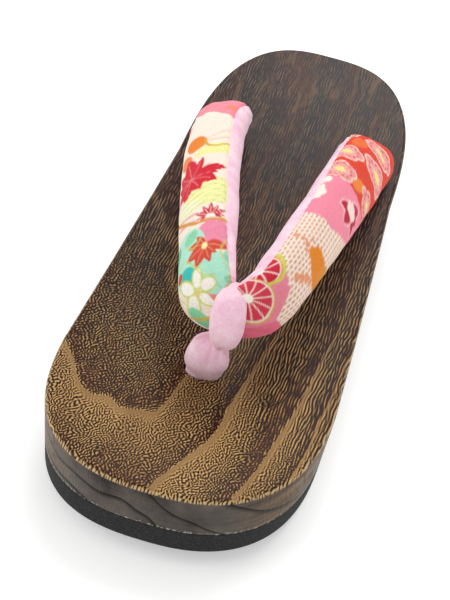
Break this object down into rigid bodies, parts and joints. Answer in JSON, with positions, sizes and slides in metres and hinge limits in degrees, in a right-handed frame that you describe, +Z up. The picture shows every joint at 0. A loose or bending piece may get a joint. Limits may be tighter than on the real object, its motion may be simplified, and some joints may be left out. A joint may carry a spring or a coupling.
{
  "type": "geta sandal",
  "caption": "Wooden thong sandal: dished stained board on a full-length rubber sole, padded printed cloth straps and a velvet toe loop.",
  "frame": {"origin": "on the floor, under the middle of the board", "axes": "+X towards the toe, +Y towards the wearer's left, +Z up"},
  "size_m": [0.2397, 0.0894, 0.0693],
  "materials": {
    "wood": "stained dark, satin",
    "sole_rubber": "matt",
    "printed_crepe": "printed in pinks, reds, cream and mint",
    "velvet": "short pile"
  },
  "bodies": {
    "root": {"rubber_sole": "sole_rubber", "wood_deck": "wood", "strap_upper": "printed_crepe", "toe_loop": "velvet"}
  },
  "joints": []
}
